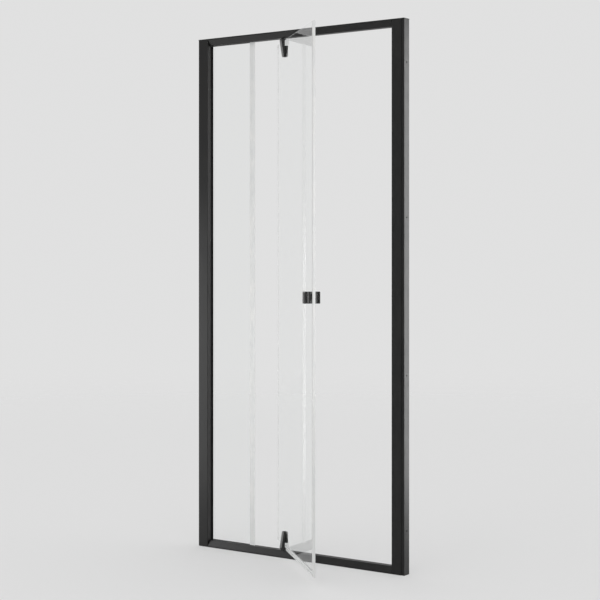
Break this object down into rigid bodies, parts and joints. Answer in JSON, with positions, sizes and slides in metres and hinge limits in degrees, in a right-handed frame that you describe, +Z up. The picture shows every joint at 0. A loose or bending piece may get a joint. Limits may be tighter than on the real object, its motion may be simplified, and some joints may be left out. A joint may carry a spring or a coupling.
{
  "type": "pivot shower door",
  "caption": "Framed shower door: a narrow fixed pane and a glass door turning on top and bottom pivots, in a matte black frame with clear seals and a two-sided knob.",
  "frame": {"origin": "middle of the frame's underside, on the shower tray", "axes": "+X along the door from the fixed pane to the closing jamb, +Y from the room into the shower, +Z up"},
  "size_m": [0.9, 0.4077, 1.9],
  "materials": {
    "frame_black": "matte black powder coat on aluminium",
    "fitting_black": "satin black coat on cast metal",
    "trim_black": "fine matte moulding",
    "gasket_black": "dull soft rubber",
    "clear_glass": "clear toughened glass, polished edges",
    "clear_seal": "translucent soft plastic",
    "magnet_grey": "pale bonded magnet strip",
    "bearing_plastic": "natural low-friction plastic",
    "steel": "stainless steel"
  },
  "bodies": {
    "frame": {"wall_profile_left": "frame_black", "wall_profile_right": "frame_black", "jamb_left": "frame_black", "jamb_right": "frame_black", "bottom_rail": "frame_black", "top_rail": "frame_black", "jamb_cap_left": "trim_black", "jamb_cap_right": "trim_black", "bottom_rail_fillers": "trim_black", "top_rail_fillers": "trim_black", "closing_strip": "trim_black", "bottom_pivot_housing": "trim_black", "top_pivot_housing": "trim_black", "adjusting_caps": "trim_black", "corner_pads": "gasket_black", "fixed_gasket_left": "gasket_black", "fixed_gasket_bottom": "gasket_black", "fixed_gasket_top": "gasket_black", "fixed_glass": "clear_glass", "fixed_edge_seal": "clear_seal", "closing_strip_magnet": "magnet_grey", "bottom_pivot_bush": "bearing_plastic", "top_pivot_bush": "bearing_plastic", "bottom_thrust_washer": "bearing_plastic", "top_thrust_washer": "bearing_plastic", "adjusting_blocks": "bearing_plastic", "corner_screws": "steel", "adjusting_screws": "steel", "housing_screws": "steel"},
    "door": {"door_glass": "clear_glass", "bottom_pivot_arm": "fitting_black", "top_pivot_arm": "fitting_black", "bottom_clamp_plate": "fitting_black", "top_clamp_plate": "fitting_black", "bottom_clamp_gaskets": "gasket_black", "top_clamp_gaskets": "gasket_black", "bottom_clamp_screws": "steel", "top_clamp_screws": "steel", "bottom_pivot_pin": "steel", "top_pivot_pin": "steel", "door_bottom_seal": "clear_seal", "door_closing_seal": "clear_seal", "door_closing_magnet": "magnet_grey", "door_edge_seal": "clear_seal", "knob_outer": "fitting_black", "knob_inner": "fitting_black", "knob_bolt": "steel", "knob_washers": "clear_seal"}
  },
  "joints": [
    {"name": "door_pivot", "type": "hinge", "parent": "frame", "child": "door", "pos_m": [-0.072, -0.001, 0.95], "axis": [0, 0, -1], "range_deg": [-42.3, 47.7]}
  ]
}
